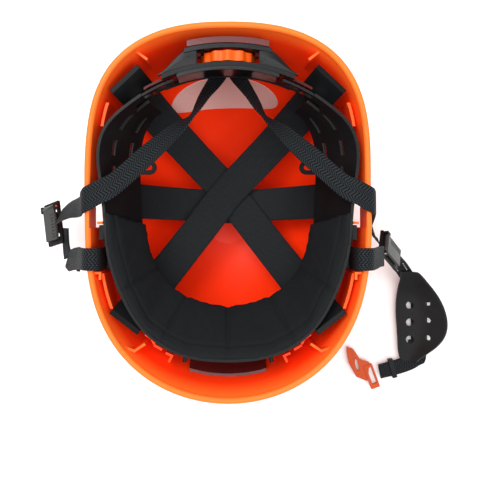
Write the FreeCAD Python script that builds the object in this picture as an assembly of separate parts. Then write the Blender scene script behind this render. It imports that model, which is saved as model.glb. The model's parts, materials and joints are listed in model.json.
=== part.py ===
import math
import os

import FreeCAD
import Part

# Forestry helmet, lying on its crown: +Z points out of the head opening, the peak is at -Y,
# the nape at +Y. The origin is the middle of the flat on the crown. All sizes in millimetres.

Vec = FreeCAD.Vector

# ---- driving dimensions: shell ----
RIM_HALF_WIDTH = 108.4
RIM_FRONT = 145.5            # from the middle to the tip of the peak
RIM_REAR = 144.4             # from the middle to the rear edge of the brim
RIM_Z = 150.0                # height of the rim at the peak and at the nape
RIM_DIP = 4.0                # how much lower the rim is above the ears
WALL = 3.0
BEAD_RADIUS = 2.4
DOME_HALF_WIDTH = 97.0
DOME_FRONT = 122.0
DOME_REAR = 128.0
DOME_HEIGHT = 125.0          # height of the dome's round part, from its virtual apex
DOME_POWER = 2.3             # over 2, the dome is fuller than an ellipse
APEX_DROP = 3.0              # the virtual apex lies this far below the flat of the crown
FLARE_FROM = 70.0            # the brim starts to flare out at this height
RIDGE_HEIGHT = 1.6           # of the styling ridges over the crown
RIB_LOW_Z = 94.0             # the ribs inside the shell start this low, within the skin
FRONT_POWERS = (2.8, 2.0)    # superellipse powers of the plan outline, along Y and along X
REAR_POWERS = (3.9, 2.4)
SHELL_LEVELS = (0, 5, 14, 28, 48, 72, 100, 128, 158)

LABEL_Z = 57.0               # height of the middle of the inner label

# ---- driving dimensions: accessory slots in the sides ----
SLOT_INNER_X = 99.5
SLOT_OUTER_X = 105.0
SLOT_Y = (-12.0, 19.0)
SLOT_WALL = 3.4
SLOT_WALL_LOW_Z = 122.0

# ---- driving dimensions: suspension ----
CROWN_STRAP_WIDTH = 30.0
CROWN_STRAP_THICKNESS = 1.5
CROSSING = Vec(0, 18, 45)
STRAP_STACK = 3.0            # height between the two diagonal straps where they cross
HANGER_DEPTH = 29.0          # from the top of a clip plate to its foot on the crown strap
HANGER_FOOT = 0.035          # the foot's thickness, as a share of the way from crossing to clip
SIDE_CROSSING = Vec(0, 4.7, 41.8)
REAR_CLIP = Vec(-81.5, 104.5, 142)
FRONT_CLIP = Vec(-81.5, -87.5, 142)
SIDE_CLIP = Vec(-97.5, 10.5, 128)
HEADBAND_LOW_Z = 105.0
HEADBAND_TOP_Z = 148.0
HEADBAND_THICKNESS = 2.2
HEADBAND_SPLIT_Y = -28.0     # the side lengths and the front lengths meet here

# ---- driving dimensions: nape cradle and size adjuster ----
ARC_CENTRE_Y = -16.0         # the nape band, its housing and the rack arms share this centre
NAPE_BAND_RADII = (124.4, 125.8)
RACK_RADII = (126.1, 127.9)
HOUSING_RADII = (128.3, 129.3)
HOUSING_HALF_X = 50.0
COVER_RADII = (139.5, 143.0)
GUARD_RADII = (143.3, 148.2)
TAIL_RADII = (122.6, 124.4)
KNOB_RADIUS = 21.0
KNOB_Z = 130.0
KNOB_Y = (113.8, 121.3)
PINION_RADIUS = 3.6
PINION_END_Y = 112.0         # the knob's shaft starts here, on the pinion's face
PEG_X = 57.0
PEG_Z = 136.0
PEG_RADIUS = 2.0

# ---- driving dimensions: chin strap ----
WEB_WIDTH = 17.0
WEB_THICKNESS = 1.6
HINGE_X = 103.0              # the webbing folds over the rim along this line on each side
HINGE_GAP = 0.6
CUP_SLIDE_X = 190.0          # the chin strap runs straight along Y here, under the chin cup


# ---------------------------------------------------------------- helpers

def mirrored(shape):
    """The same shape on the other side of the helmet."""
    return shape.mirror(Vec(0, 0, 0), Vec(1, 0, 0))


def box(x, y, z):
    """A box between pairs of limits along X, Y and Z."""
    return Part.makeBox(x[1] - x[0], y[1] - y[0], z[1] - z[0], Vec(x[0], y[0], z[0]))


def placed_box(centre, along, across, sizes):
    """A box round a centre, with its sides along two given directions and their normal."""
    u = Vec(*along).normalize()
    n = u.cross(Vec(*across)).normalize()
    v = n.cross(u)
    solid = Part.makeBox(sizes[0], sizes[1], sizes[2], Vec(-sizes[0] / 2, -sizes[1] / 2, -sizes[2] / 2))
    matrix = FreeCAD.Matrix(u.x, v.x, n.x, centre.x, u.y, v.y, n.y, centre.y, u.z, v.z, n.z, centre.z)
    return solid.transformGeometry(matrix)


def prism(points, direction):
    """A closed polygon pushed along a direction."""
    wire = Part.makePolygon([Vec(*p) for p in points] + [Vec(*points[0])])
    return Part.Face(wire).extrude(Vec(*direction))


def smoothed(stations, steps=4):
    """More stations in between, on a smooth curve through the given ones."""
    points = [Vec(*s[0]) for s in stations]
    across = [Vec(*stations[0][1]).normalize()]
    for station in stations[1:]:
        a = Vec(*station[1]).normalize()
        across.append(a if a.dot(across[-1]) > 0 else a * -1)
    result = []
    for i in range(len(stations) - 1):
        p0 = points[max(i - 1, 0)]
        p1 = points[i]
        p2 = points[i + 1]
        p3 = points[min(i + 2, len(points) - 1)]
        for k in range(steps):
            t = k / steps
            point = (p1 * 2 + (p2 - p0) * t + (p0 * 2 - p1 * 5 + p2 * 4 - p3) * t ** 2
                     + (p1 * 3 - p0 - p2 * 3 + p3) * t ** 3) * 0.5
            width = stations[i][2] * (1 - t) + stations[i + 1][2] * t
            result.append((tuple(point), tuple(across[i] * (1 - t) + across[i + 1] * t), width))
    return result + [(stations[-1][0], tuple(across[-1]), stations[-1][2])]


def flat_face(corners):
    return Part.Face(Part.makePolygon(corners + [corners[0]]))


def ribbon(stations, thickness=WEB_THICKNESS):
    """Flat webbing through stations of (point, direction of its width, width)."""
    stations = smoothed(stations)
    points = [Vec(*s[0]) for s in stations]
    sections = []
    for i, (_, across, width) in enumerate(stations):
        before = points[max(i - 1, 0)]
        after = points[min(i + 1, len(points) - 1)]
        tangent = (after - before).normalize()
        w = Vec(*across).normalize()
        n = tangent.cross(w).normalize()
        half_w = w * (width / 2)
        half_n = n * (thickness / 2)
        p = points[i]
        sections.append([p + half_w + half_n, p - half_w + half_n, p - half_w - half_n, p + half_w - half_n])
    faces = [flat_face(sections[0]), flat_face(sections[-1])]
    for near, far in zip(sections, sections[1:]):
        for i in range(4):
            j = (i + 1) % 4
            faces.append(flat_face([near[i], near[j], far[j]]))
            faces.append(flat_face([near[i], far[j], far[i]]))
    return Part.makeSolid(Part.makeShell(faces))


def arc_ring(radii, z, half_x, low_x=None):
    """Part of a ring about the nape's arc centre, on the rear side, between two X limits."""
    centre = Vec(0, ARC_CENTRE_Y, z[0])
    ring = Part.makeCylinder(radii[1], z[1] - z[0], centre)
    ring = ring.cut(Part.makeCylinder(radii[0], z[1] - z[0], centre))
    low = -half_x if low_x is None else low_x
    return ring.common(box((low, half_x), (0, 200), (z[0] - 1, z[1] + 1)))


def on_arc(radius, x):
    """The Y of a point on a circle about the nape's arc centre."""
    return ARC_CENTRE_Y + math.sqrt(radius ** 2 - x ** 2)


# ---------------------------------------------------------------- shell

def dome_fraction(z):
    height = min((z + APEX_DROP) / DOME_HEIGHT, 1.0)
    return (1 - (1 - height) ** DOME_POWER) ** (1 / DOME_POWER)


def flare(z, amount, power):
    return amount * max((z - FLARE_FROM) / (RIM_Z - FLARE_FROM), 0.0) ** power


def half_sizes(z):
    """Half width, front length and rear length of the outer skin at a height."""
    f = dome_fraction(z)
    side = DOME_HALF_WIDTH * f + flare(z, RIM_HALF_WIDTH - DOME_HALF_WIDTH + 0.9, 1.3)
    front = DOME_FRONT * f + flare(z, RIM_FRONT - DOME_FRONT, 1.8)
    rear = DOME_REAR * f + flare(z, RIM_REAR - DOME_REAR, 1.8)
    return side, front, rear


def outline_points(z, inset, count=28):
    """Points of the plan outline at a height, moved in by an inset."""
    side, front, rear = half_sizes(z)
    roundness = min(max(z, 0.0) / 120.0, 1.0)
    points = []
    for i in range(count):
        a = 2 * math.pi * i / count
        c = math.cos(a)
        s = math.sin(a)
        powers = REAR_POWERS if s > 0 else FRONT_POWERS
        p = 2 + (powers[0] - 2) * roundness
        q = 2 + (powers[1] - 2) * roundness
        length = (rear if s > 0 else front) - inset
        x = (side - inset) * math.copysign(abs(c) ** (2 / q), c)
        y = length * math.copysign(abs(s) ** (2 / p), s)
        points.append(Vec(x, y, z))
    return points


def closed_curve(points):
    curve = Part.BSplineCurve()
    curve.interpolate(Points=points, PeriodicFlag=True)
    return Part.Wire([curve.toShape()])


def dome_body(inset, lift=0.0):
    """The solid inside the skin, moved in by an inset and up by a lift at the crown."""
    wires = []
    for z in SHELL_LEVELS:
        points = outline_points(z, inset)
        rise = lift * (1 - z / SHELL_LEVELS[-1])
        wires.append(closed_curve([p + Vec(0, 0, rise) for p in points]))
    return Part.makeLoft(wires, True, False)


def rim_height(y):
    return RIM_Z - RIM_DIP * (1 - (y / RIM_FRONT) ** 2)


def rim_cutter(above_rim):
    """Everything over the rim's curved side view."""
    ends = 170.0
    y_mid = 0.0
    low = rim_height(y_mid) + above_rim
    high = rim_height(ends) + above_rim
    arc = Part.Arc(Vec(-150, -ends, high), Vec(-150, y_mid, low), Vec(-150, ends, high)).toShape()
    top = Part.makePolygon([Vec(-150, ends, high), Vec(-150, ends, 200), Vec(-150, -ends, 200),
                            Vec(-150, -ends, high)])
    return Part.Face(Part.Wire([arc] + top.Edges)).extrude(Vec(300, 0, 0))


def rim_bead():
    """The rolled edge: a round bar that follows the rim, in two halves."""
    points = []
    for p in outline_points(RIM_Z - BEAD_RADIUS, BEAD_RADIUS):
        z = rim_height(p.y) - BEAD_RADIUS
        points.append(Vec(p.x, p.y, z))
    edge = closed_curve(points).Edges[0]
    first = edge.FirstParameter
    last = edge.LastParameter
    middle = (first + last) / 2
    halves = []
    for start, end in ((first, middle), (middle, last)):
        path = Part.Wire([edge.Curve.toShape(start, end)])
        circle = Part.makeCircle(BEAD_RADIUS, edge.valueAt(start), edge.tangentAt(start))
        halves.append(path.makePipeShell([Part.Wire([circle])], True, True))
    return halves


def side_boss():
    """The outer wall of the right accessory slot."""
    x = (SLOT_INNER_X + 1.5, SLOT_OUTER_X + SLOT_WALL)
    y = (SLOT_Y[0] - SLOT_WALL, SLOT_Y[1] + SLOT_WALL)
    return box(x, y, (SLOT_WALL_LOW_Z, rim_height(0) - 1.5))


def curved_rib(inset, y, z):
    """A 2 mm wall inside the right half that runs along the rim."""
    height = z[1] - z[0]
    outer = Part.Face(closed_curve([Vec(p.x, p.y, z[0]) for p in outline_points(RIM_Z, inset)]))
    inner = Part.Face(closed_curve([Vec(p.x, p.y, z[0]) for p in outline_points(RIM_Z, inset + 2)]))
    wall = outer.extrude(Vec(0, 0, height)).cut(inner.extrude(Vec(0, 0, height)))
    return wall.common(box((20, 130), y, (z[0], z[1])))


def hook(corner, first, second, top_z, thickness=1.8):
    """An L of two thin upright walls from a corner towards two plan points."""
    z = (RIB_LOW_Z, top_z)
    walls = []
    for end in (first, second):
        a = Vec(corner[0], corner[1], 0)
        b = Vec(end[0], end[1], 0)
        centre = (a + b) * 0.5
        length = (b - a).Length + thickness
        centre.z = (z[0] + z[1]) / 2
        walls.append(placed_box(centre, b - a, Vec(0, 0, 1), (length, z[1] - z[0], thickness)))
    return walls


def shell_ribs():
    """Pocket walls and hooks inside the right half, before the skin closes round them."""
    ribs = [curved_rib(9.5, (-74, -47), (RIB_LOW_Z, 139)), curved_rib(9.0, (66, 84), (RIB_LOW_Z, 139))]
    # the pocket that holds the side anchor of the chin strap
    ribs += hook((100.5, -8.2), (96.4, -8.2), (100.5, -3.5), 143)
    ribs += hook((97.4, -46.3), (103.5, -46.3), (97.4, -50.5), 143)
    # the pockets of the rear and front clips
    ribs += hook((70.5, 123.2), (77, 117.6), (62.5, 117.2), 141)
    ribs += hook((103.6, 87.5), (98.5, 93.5), (99.5, 80.5), 139)
    ribs += hook((96.5, -74.5), (101, -70.5), (99.5, -80.5), 139)
    ribs += hook((71.5, -106.2), (78, -103.5), (64, -101.2), 141)
    # short locating ribs at the inside of the peak
    ribs += hook((59.3, -98.2), (63.5, -95.2), (57.5, -101.6), 134)
    ribs += hook((52.0, -106.3), (56.5, -103.6), (54.3, -105.0), 134)
    ribs += hook((43.5, -111.5), (47.5, -109.6), (45.6, -115.6), 134)
    return ribs


def crown_ridges():
    """Three low styling ridges that run over the crown from front to back."""
    raised = dome_body(-RIDGE_HEIGHT)
    return [raised.common(box((x - 7, x + 7), (-150, 150), (0, 120))) for x in (-27, 0, 27)]


def make_shell():
    ribs = shell_ribs()
    ribs += [mirrored(rib) for rib in ribs]
    cavity = dome_body(WALL, WALL).cut(ribs)
    boss = side_boss()
    outer = dome_body(0).fuse(crown_ridges() + [boss, mirrored(boss)])
    body = outer.cut(cavity).cut(rim_cutter(-BEAD_RADIUS)).fuse(rim_bead())
    slot = box((SLOT_INNER_X, SLOT_OUTER_X), SLOT_Y, (60, 160))
    return body.cut([slot, mirrored(slot)])


def skin_layer(gap, thickness):
    """A thin layer that lies just inside the shell."""
    return dome_body(WALL + gap, WALL + gap).cut(dome_body(WALL + gap + thickness, WALL + gap + thickness))


def make_label():
    """A blank oval label on the inside of the rear crown."""
    oval = Part.Ellipse(Vec(-3, 0, LABEL_Z), 48, 18)
    oval.rotate(FreeCAD.Placement(Vec(-3, 0, LABEL_Z), FreeCAD.Rotation(Vec(1, 0, 0), 90), Vec(0, 0, 0)))
    area = Part.Face(Part.Wire([oval.toShape()])).extrude(Vec(0, 160, 0))
    return skin_layer(0.15, 0.5).common(area)


def make_front_strip():
    """The smoked clear strip inside the peak."""
    return skin_layer(0.2, 2.0).common(box((-30.5, 30.5), (-160, 0), (104, 124)))


# ---------------------------------------------------------------- suspension

def arm_point(start, clip, along, z):
    """A point at a share of the way from the crossing to a clip, at a height."""
    x = start.x + (clip.x - start.x) * along
    y = start.y + (clip.y - start.y) * along
    return (x, y, z)


def crown_strap(middle, first_clip, second_clip, heights):
    """A crown strap from one hanger over the crossing to the opposite hanger."""
    stations = []
    for clip, order in ((first_clip, -1), (second_clip, 1)):
        away = Vec(clip.x - middle.x, clip.y - middle.y, 0)
        across = Vec(-away.y, away.x, 0) * order
        arm = [(arm_point(middle, clip, share, z), across, CROWN_STRAP_WIDTH) for share, z in heights]
        stations.append(arm)
    first, second = stations
    turn = first[0][1].normalize() + second[0][1].normalize()
    centre = [((middle.x, middle.y, middle.z), turn, CROWN_STRAP_WIDTH)]
    return ribbon(list(reversed(first)) + centre + second, CROWN_STRAP_THICKNESS)


def diagonal_heights(rise):
    return [(0.26, 48.5 + rise), (0.50, 58), (0.70, 75), (0.81, 94), (0.86, 110.5)]


SIDE_HEIGHTS = [(0.26, 43.2), (0.52, 52), (0.74, 70), (0.84, 86), (0.89, 97.5)]


def hanger(clip, middle, depth_shares, width):
    """A clip plate: hooked into its pocket at the top, holding the crown strap at the bottom."""
    away = Vec(clip.x - middle.x, clip.y - middle.y, 0)
    reach = away.Length
    away.normalize()
    side = Vec(-away.y, away.x, 0) * (width / 2)

    def at(share, z):
        p = Vec(middle.x, middle.y, 0) + away * (reach * share)
        return Vec(p.x, p.y, z) - side

    top, foot = depth_shares
    outline = [at(top, clip.z), at(top - 0.03, clip.z + 1), at(foot, clip.z - 15),
               at(foot, clip.z - HANGER_DEPTH), at(foot + HANGER_FOOT, clip.z - HANGER_DEPTH),
               at(foot + HANGER_FOOT, clip.z - 16), at(top, clip.z - 6)]
    return prism(outline, side * 2)


def band_curve(points, z, offset):
    """The left half's plan points, mirrored, smoothed and moved out by an offset."""
    left = [Vec(x, y, z) for x, y in points]
    full = left + [Vec(-p.x, p.y, z) for p in reversed(left[:-1])]
    moved = []
    for i, p in enumerate(full):
        before = full[max(i - 1, 0)]
        after = full[min(i + 1, len(full) - 1)]
        tangent = (after - before).normalize()
        moved.append(p + Vec(tangent.y, -tangent.x, 0) * offset)
    curve = Part.BSplineCurve()
    curve.interpolate(Points=moved)
    return curve.toShape(), moved[0], moved[-1]


def band_wire(points, z, outer_offset, inner_offset):
    outer, outer_start, outer_end = band_curve(points, z, outer_offset)
    inner, inner_start, inner_end = band_curve(points, z, inner_offset)
    ends = [Part.makeLine(outer_end, inner_end), Part.makeLine(inner_start, outer_start)]
    return Part.Wire([outer, ends[0], inner.reversed(), ends[1]])


# plan points of the headband's outer face, from the left tail to the middle of the front
BAND_TOP = [(-66, 89.2), (-80, 79), (-94, 63.5), (-99, 45), (-97, 22), (-94.5, 0), (-91.5, -30),
            (-81.5, -62), (-64, -90), (-36, -108), (0, -113)]
BAND_LOW = [(-56, 84), (-66, 74), (-73, 56), (-74.5, 34), (-73.5, 10), (-72.5, -10), (-69, -30),
            (-60, -50), (-46, -66), (-24, -77), (0, -81)]
FRONT_PART = 5               # the sweatband starts at this point of the two lists


def band_solid(first_point, low, high, offsets):
    """A tapered wall between two heights, that follows the headband's plan points."""
    wires = []
    for z in (low, high):
        share = (z - HEADBAND_LOW_Z) / (HEADBAND_TOP_Z - HEADBAND_LOW_Z)
        points = []
        for top, bottom in zip(BAND_TOP[first_point:], BAND_LOW[first_point:]):
            x = bottom[0] + (top[0] - bottom[0]) * share
            y = bottom[1] + (top[1] - bottom[1]) * share
            points.append((x, y))
        wires.append(band_wire(points, z, offsets[0], offsets[1]))
    return Part.makeLoft(wires, True, True)


def make_headband():
    band = band_solid(0, HEADBAND_LOW_Z, HEADBAND_TOP_Z, (0, -HEADBAND_THICKNESS))
    for y in (70, 50, 30):
        for z in (116, 134):
            band = band.cut(box((-110, 110), (y - 6, y + 6), (z - 1.6, z + 1.6)))
    tail = arc_ring(TAIL_RADII, (128, 144), -41.5, -74)
    slot = box((-71, -44), (60, 130), (132, 140))
    tab = box((-75.5, -64.5), (30.8, 42.6), (HEADBAND_LOW_Z, HEADBAND_LOW_Z + 2.4))
    tab = tab.fuse(Part.makeCylinder(5.9, 2.4, Vec(-64.5, 36.7, HEADBAND_LOW_Z)))
    hole = box((-70.5, -64.5), (34.4, 39.0), (90, 120))
    hole = hole.fuse(Part.makeCylinder(2.3, 30, Vec(-64.5, 36.7, 90)))
    tab = tab.cut(hole)
    nub = Part.makeCylinder(1.6, 4.0, Vec(-32, -109.5, 145), Vec(-0.3, -1, 0))
    extras = [tail, tab, nub]
    whole = band.fuse(extras + [mirrored(e) for e in extras]).removeSplitter()
    return whole.cut([slot, mirrored(slot)])


def headband_lengths():
    """The headband in four lengths that meet under the sweatband, so that each is a simple shape."""
    band = make_headband()
    front = (-140, HEADBAND_SPLIT_Y)
    side = (HEADBAND_SPLIT_Y, 140)
    z = (100, 155)
    return {
        "headband_front_left": band.common(box((-140, 0), front, z)),
        "headband_front_right": band.common(box((0, 140), front, z)),
        "headband_side_left": band.common(box((-140, 0), side, z)),
        "headband_side_right": band.common(box((0, 140), side, z)),
    }


def make_sweatband():
    """The padded band inside the headband's front half, with a lip over its top edge."""
    pad = band_solid(FRONT_PART, HEADBAND_LOW_Z - 1, HEADBAND_TOP_Z, (-HEADBAND_THICKNESS - 0.4, -7.2))
    lip = band_solid(FRONT_PART, HEADBAND_TOP_Z + 0.3, HEADBAND_TOP_Z + 2.2, (0.3, -7.2))
    neck = band_solid(FRONT_PART, HEADBAND_TOP_Z - 1, HEADBAND_TOP_Z + 1, (-HEADBAND_THICKNESS - 0.5, -7.0))
    return pad.fuse([lip, neck])


# ---------------------------------------------------------------- nape cradle

def make_nape_band():
    band = arc_ring(NAPE_BAND_RADII, (122.5, 150), 38.5)
    lip = arc_ring((NAPE_BAND_RADII[0] - 1.4, NAPE_BAND_RADII[1]), (148.6, 150.4), 38.5)
    return band.fuse(lip)


def make_housing():
    """The cover behind the nape band that the two rack arms run in."""
    back = arc_ring(HOUSING_RADII, (115.5, 150), HOUSING_HALF_X)
    rails = [arc_ring((125.9, 129.0), (146.5, 150), HOUSING_HALF_X),
             arc_ring((124.6, 129.0), (115.5, 117.7), HOUSING_HALF_X)]
    posts = []
    for x in (-30, 30):
        y = on_arc(HOUSING_RADII[0], abs(x) - 3)
        posts.append(box((x - 3, x + 3), (y, on_arc(COVER_RADII[0], abs(x) + 3) - 0.1), (124, 146)))
    body = back.fuse(rails + posts)
    bore = Part.makeCylinder(2.6, 20, Vec(0, 105, KNOB_Z), Vec(0, 1, 0))
    return body.cut(bore)


def make_cover():
    cover = arc_ring(COVER_RADII, (122, 149.5), 33)
    window = Part.makeCylinder(16, 20, Vec(0, 115, KNOB_Z), Vec(0, 1, 0))
    return cover.cut(window)


def make_guard():
    outer = arc_ring(GUARD_RADII, (139, 149.5), 31)
    return outer.cut(arc_ring((GUARD_RADII[0] + 1.4, GUARD_RADII[1] - 1.2), (137, 148.2), 29.5))


def make_screws():
    screws = []
    for x in (-30, 30):
        y = on_arc(COVER_RADII[1], x)
        head = Part.makeCylinder(2.4, 1.2, Vec(x, y + 0.9, 128), Vec(0, 1, 0))
        cross = box((x - 1.6, x + 1.6), (y + 1.5, y + 3), (127.7, 128.3))
        cross = cross.fuse(box((x - 0.3, x + 0.3), (y + 1.5, y + 3), (126.4, 129.6)))
        screws.append(head.cut(cross))
    return Part.makeCompound(screws)


def make_spring():
    """The leaf spring that clicks over the knob's inner teeth."""
    leaf = box((-14, 14), (113.36, 113.7), (112, 113.2))
    return leaf.fuse(box((-1, 1), (113.36, 113.7), (113, 117)))


def make_knob():
    length = KNOB_Y[1] - KNOB_Y[0]
    points = []
    lobes = 12
    per_lobe = 8
    for i in range(lobes * per_lobe):
        a = 2 * math.pi * i / (lobes * per_lobe)
        r = KNOB_RADIUS - 0.9 + 0.9 * math.cos(lobes * a)
        points.append(Vec(r * math.sin(a), KNOB_Y[0], KNOB_Z + r * math.cos(a)))
    body = Part.Face(closed_curve(points)).extrude(Vec(0, length, 0))
    hub = Part.makeCylinder(15.5, 3, Vec(0, KNOB_Y[1] - 2.2, KNOB_Z), Vec(0, 1, 0))
    shaft = Part.makeCylinder(2.5, KNOB_Y[0] - PINION_END_Y, Vec(0, PINION_END_Y, KNOB_Z), Vec(0, 1, 0))
    return body.cut(hub).fuse(shaft)


def make_pinion():
    length = 1.7
    start = PINION_END_Y - length
    pinion = Part.makeCylinder(PINION_RADIUS, length, Vec(0, start, KNOB_Z), Vec(0, 1, 0))
    for i in range(10):
        a = 2 * math.pi * i / 10
        gap = Part.makeCylinder(0.6, length + 1, Vec(PINION_RADIUS * math.sin(a), 110,
                                                     KNOB_Z + PINION_RADIUS * math.cos(a)), Vec(0, 1, 0))
        pinion = pinion.cut(gap)
    return pinion


def rack_arm(strip_z, teeth_z):
    """The left arm: a toothed strip inside the housing and a plate with a peg at its outer end."""
    strip = arc_ring(RACK_RADII, strip_z, 22, -46)
    plate = arc_ring(RACK_RADII, (min(strip_z[0], 128), 144), -40, -47)
    tip = arc_ring(RACK_RADII, (131.5, 144), -45, -64)
    arm = strip.fuse([plate, tip])
    for i in range(20):
        x = -30 + 2.4 * i
        arm = arm.cut(box((x, x + 1.1), (90, 130), teeth_z))
    y = on_arc(TAIL_RADII[0], PEG_X)
    out = Vec(-PEG_X, y - ARC_CENTRE_Y, 0).normalize()
    foot = Vec(-PEG_X, y, PEG_Z) - out * 1.2
    peg = Part.makeCylinder(PEG_RADIUS, RACK_RADII[1] - TAIL_RADII[0] + 0.8, foot, out)
    head = Part.makeCylinder(PEG_RADIUS + 1.0, 1.0, foot - out * 0.6, out)
    return arm.fuse([peg, head])


# ---------------------------------------------------------------- chin strap

FLAT_ACROSS = (0, 1, 0)      # at the fold over the rim the webbing's width runs along the hinge

REAR_LEG_INNER = [((-7.5, 116.4, 99), (1, 0.05, 0), 15), ((-8.2, 112, 103), (1, 0.05, 0), 15),
                  ((-20, 92, 112), (0.6, 0.1, 0.6), WEB_WIDTH),
                  ((-29, 77, 119), (0.3, -0.1, 0.95), WEB_WIDTH),
                  ((-45.7, 60, 130), (0.3, -0.75, 0.45), WEB_WIDTH),
                  ((-64, 41.6, 141), (0.4, -0.9, 0.1), WEB_WIDTH),
                  ((-85.4, 21, 150), (0.2, -0.97, 0), 18), ((-96.4, 15, 151.2), (0, -1, 0), 19),
                  ((-HINGE_X + HINGE_GAP, 11.7, 149.6), (0, -1, 0), 20)]
REAR_LEG_OUTER_START = [((-HINGE_X - HINGE_GAP, 11.4, 149.5), FLAT_ACROSS, 20),
                        ((-109.2, 8.8, 147.0), FLAT_ACROSS, 19.5), ((-112.8, 6.5, 139), FLAT_ACROSS, 19)]
LEFT_REAR_LEG_END = [((-118, 4.5, 124), (0.2, 0.95, 0), 18), ((-128, 3, 106), (0.3, 0.9, -0.2), WEB_WIDTH),
                     ((-139, -0.5, 90), (0.3, 0.85, -0.3), WEB_WIDTH),
                     ((-146.5, -4, 78), (0.3, 0.85, -0.3), WEB_WIDTH)]
FRONT_LEG_INNER = [((-96, -35.5, 128), FLAT_ACROSS, WEB_WIDTH), ((-96.8, -35.5, 140), FLAT_ACROSS, WEB_WIDTH),
                   ((-98.4, -35.5, 147.4), FLAT_ACROSS, WEB_WIDTH),
                   ((-HINGE_X + HINGE_GAP, -35.5, 149.6), FLAT_ACROSS, WEB_WIDTH)]
FRONT_LEG_OUTER_START = [((-HINGE_X - HINGE_GAP, -35.5, 149.5), FLAT_ACROSS, WEB_WIDTH),
                         ((-108.6, -35.6, 146.6), FLAT_ACROSS, WEB_WIDTH),
                         ((-112.6, -35.8, 139), FLAT_ACROSS, WEB_WIDTH)]
LEFT_FRONT_LEG_END = [((-120, -37, 119), (0.1, 1, 0), 18), ((-128, -39, 102), (0.1, 1, 0), 19),
                      ((-134, -41, 90), (0.1, 1, 0), 19)]
RIGHT_REAR_LEG_END = [((113.6, -4, 124), (-0.1, 0.9, 0.4), WEB_WIDTH),
                      ((117.5, -13, 108), (-0.2, 0.5, 0.8), WEB_WIDTH),
                      ((123, -20.5, 97), (-0.3, 0.2, 0.9), WEB_WIDTH),
                      ((128, -24.5, 89), (-0.3, 0.3, 0.8), WEB_WIDTH)]
RIGHT_FRONT_LEG_END = [((120, -36, 121), FLAT_ACROSS, WEB_WIDTH), ((127, -36.5, 104), FLAT_ACROSS, WEB_WIDTH),
                       ((131, -37.2, 94), FLAT_ACROSS, WEB_WIDTH)]
LEFT_LOWER_WEB = [((-143.4, -14, 71), (0.6, 0, 0.8), 14), ((-142, -27, 75), (0.6, 0, 0.8), 14),
                  ((-138, -39, 83), (0.6, 0.3, 0.7), 14)]
CHIN_STRAP = [((154.0, -45.3, 57.6), (0.9, 0.3, -0.3), 15), ((159, -50, 46), (0.95, 0.2, -0.2), 16),
              ((168, -57, 29), (1, 0, 0), 16), ((178, -66, 12.4), (1, 0, 0), 16),
              ((186, -74, 4.3), (1, 0, 0), 16),
              ((CUP_SLIDE_X, -80, 3.2), (1, 0, 0), 16), ((CUP_SLIDE_X, -141, 3.2), (1, 0, 0), 16),
              ((184, -148, 3.6), (0.75, -0.66, 0), 16), ((172, -153, 4.2), (0.45, -0.9, 0), 15),
              ((150.5, -158.5, 5.2), (0.2, -1, 0), 14)]

LEFT_DIVIDER = Vec(-154.5, -10.5, 67)
RIGHT_DIVIDER = Vec(141.5, -34, 73)


def flipped(stations):
    return [((-p[0], p[1], p[2]), (a[0], -a[1], -a[2]), w) for p, a, w in stations]


def divider_base(centre, along, across):
    """A frame with two webbing slots and two hinge ears."""
    normal = Vec(along).normalize().cross(across).normalize()
    side = normal.cross(along).normalize()
    u = Vec(along).normalize()
    base = placed_box(centre, along, across, (38, 21, 2.6))
    for shift in (-11, 11):
        base = base.cut(placed_box(centre + u * shift, along, across, (3.4, 15, 6)))
    for shift in (-9.4, 9.4):
        ear = placed_box(centre + side * shift + normal * 2.6 - u * 14, along, across, (6, 2.2, 5.2))
        base = base.fuse(ear)
    pin_start = centre - side * 11 + normal * 3.4 - u * 14
    return base.cut(Part.makeCylinder(1.1, 22, pin_start, side))


def divider_pin(centre, along, across):
    normal = Vec(along).normalize().cross(across).normalize()
    side = normal.cross(along).normalize()
    u = Vec(along).normalize()
    return Part.makeCylinder(1.05, 20.6, centre - side * 10.3 + normal * 3.4 - u * 14, side)


def divider_cam(centre, along, across):
    """The plate that clamps the webbing, with a serrated edge."""
    normal = Vec(along).normalize().cross(across).normalize()
    side = normal.cross(along).normalize()
    u = Vec(along).normalize()
    plate = placed_box(centre + normal * 3.6 + u * 1.0, along, across, (28, 16.0, 2.4))
    barrel = Part.makeCylinder(2.0, 16.0, centre - side * 8 + normal * 3.4 - u * 14, side)
    cam = plate.fuse(barrel)
    for i in range(8):
        at = centre + normal * 4.8 + u * (-7 + 2.8 * i) + side * 5.5
        notch = placed_box(at, along, across, (1.2, 6, 1.2))
        cam = cam.cut(notch)
    bore = Part.makeCylinder(1.12, 30, centre - side * 15 + normal * 3.4 - u * 14, side)
    return cam.cut(bore)


def cup_section(y, left, width, low):
    """A thin curved section across the chin cup."""
    shape = [(0, 0.02), (0.3, 0.0), (0.58, 0.07), (0.82, 0.28), (1, 0.52)]
    middle = [Vec(left + fx * width, y, low + 1.5 + fz * width) for fx, fz in shape]
    upper = []
    lower = []
    for i, p in enumerate(middle):
        before = middle[max(i - 1, 0)]
        after = middle[min(i + 1, len(middle) - 1)]
        tangent = (after - before).normalize()
        n = Vec(-tangent.z, 0, tangent.x) * 1.4
        upper.append(p + n)
        lower.append(p - n)
    top = Part.BSplineCurve()
    top.interpolate(Points=upper)
    under = Part.BSplineCurve()
    under.interpolate(Points=lower)
    ends = [Part.makeLine(upper[-1], lower[-1]), Part.makeLine(lower[0], upper[0])]
    return Part.Wire([top.toShape(), ends[0], under.toShape().reversed(), ends[1]])


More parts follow.
